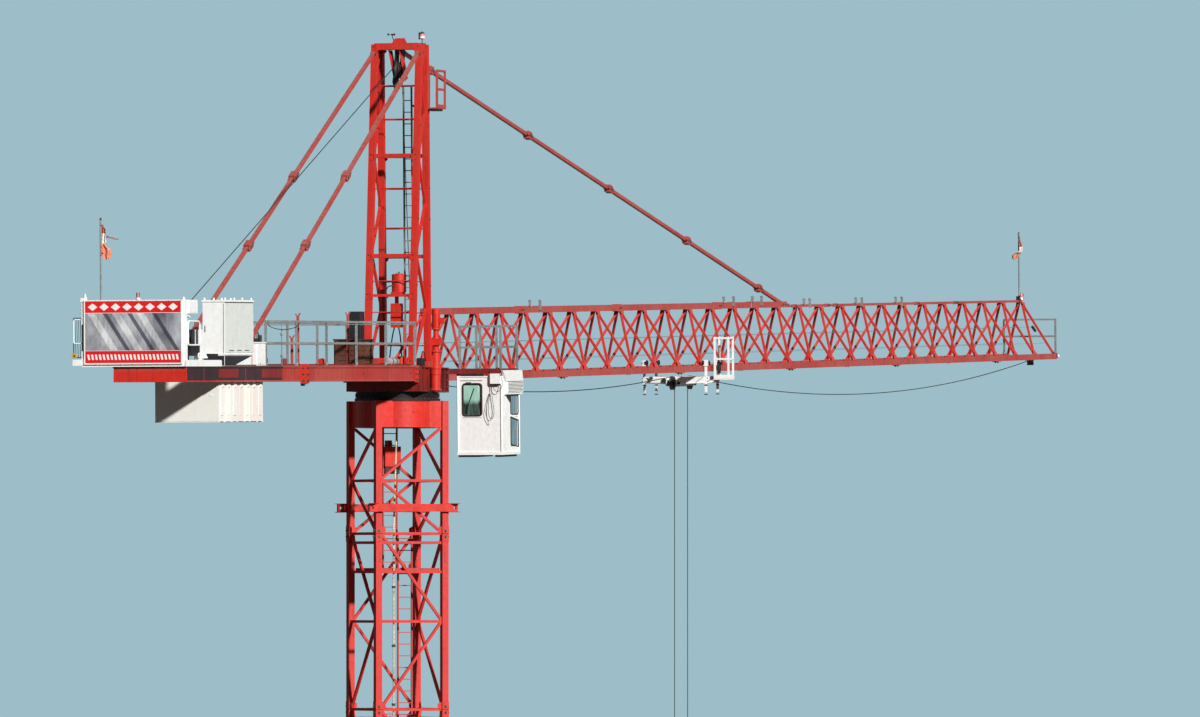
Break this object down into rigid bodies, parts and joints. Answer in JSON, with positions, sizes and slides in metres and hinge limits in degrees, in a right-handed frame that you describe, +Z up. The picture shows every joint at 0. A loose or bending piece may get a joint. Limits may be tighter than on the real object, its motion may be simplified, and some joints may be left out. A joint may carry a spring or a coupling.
{
  "type": "tower crane, 1:2 scale model",
  "caption": "Half-size hammerhead tower crane: bolted lattice mast, slewing top with tower head, tied jib, ballasted counter-jib, cab and travelling trolley.",
  "frame": {"origin": "on the ground at the slewing axis, in the underside of the base cross", "axes": "+X out along the jib at rest, +Z up, +Y to the left of the jib"},
  "size_m": [37.3603, 1.9631, 19.831],
  "materials": {
    "bright_red_paint": "weathered bright red gloss paint",
    "faded_red_paint": "sun-faded dull red paint",
    "black_steel": "dark greased and painted steel",
    "galvanised_steel": "dull galvanised steel",
    "white_paint": "cream white gloss paint",
    "white_concrete": "cream painted concrete",
    "sign_sheet": null,
    "brown_wood": "weathered brown boards",
    "flag_cloth": "torn and faded flag cloth",
    "wire_rope": "greased wire rope",
    "cable_sheath": "pale yellow rubber sheath",
    "cab_glass": "tinted cab glass",
    "yellow_paint": "worn yellow gloss paint"
  },
  "bodies": {
    "mast": {"base_cross": "bright_red_paint", "mast_legs": "bright_red_paint", "mast_side_front_left": "bright_red_paint", "mast_side_rear_left": "bright_red_paint", "mast_side_rear_right": "bright_red_paint", "mast_side_front_right": "bright_red_paint", "rest_platforms": "black_steel", "mast_ladders": "black_steel", "climbing_lug_beams": "bright_red_paint", "mast_top_drum": "bright_red_paint", "slewing_ring": "black_steel", "mast_cable": "cable_sheath"},
    "upper": {"slewing_platform": "bright_red_paint", "slewing_motor": "bright_red_paint", "head_rear_frame": "bright_red_paint", "head_front_frame": "bright_red_paint", "head_side_left": "bright_red_paint", "head_side_right": "bright_red_paint", "rope_guides": "black_steel", "head_ladder": "black_steel", "head_service_cage": "bright_red_paint", "service_winch": "bright_red_paint", "front_tie": "faded_red_paint", "rear_ties": "faded_red_paint", "counter_jib_beams": "bright_red_paint", "counter_jib_deck": "galvanised_steel", "counter_jib_railings": "galvanised_steel", "ballast_slabs": "white_concrete", "winch_frame": "white_paint", "winch_drum": "black_steel", "winch_motor": "white_paint", "sign_board": "sign_sheet", "electric_cabinets": "white_paint", "tool_crate": "brown_wood", "work_light": "black_steel", "flag_poles": "galvanised_steel", "flags": "flag_cloth", "hoist_rope": "wire_rope", "cab_shell": "white_paint", "cab_glass": "cab_glass", "cab_hanger": "faded_red_paint", "cab_railing": "galvanised_steel", "jib_top_chord": "faded_red_paint", "jib_bottom_chords": "faded_red_paint", "jib_side_left": "faded_red_paint", "jib_side_right": "faded_red_paint", "jib_floor": "faded_red_paint", "jib_tip_railing": "galvanised_steel", "rope_runs": "wire_rope"},
    "trolley": {"trolley_frame": "white_paint", "trolley_rollers": "black_steel", "trolley_sheaves": "black_steel", "trolley_basket": "white_paint", "hook_falls": "wire_rope", "hook_block": "yellow_paint"}
  },
  "joints": [
    {"name": "slew", "type": "hinge", "parent": "mast", "child": "upper", "pos_m": [0, 0, 15.635], "axis": [0, 0, 1], "continuous": true},
    {"name": "trolley_travel", "type": "slide", "parent": "upper", "child": "trolley", "axis": [0.9996, 0, 0.0279], "range_m": [-8.9, 15.28], "deforming": ["rope_runs"]}
  ]
}
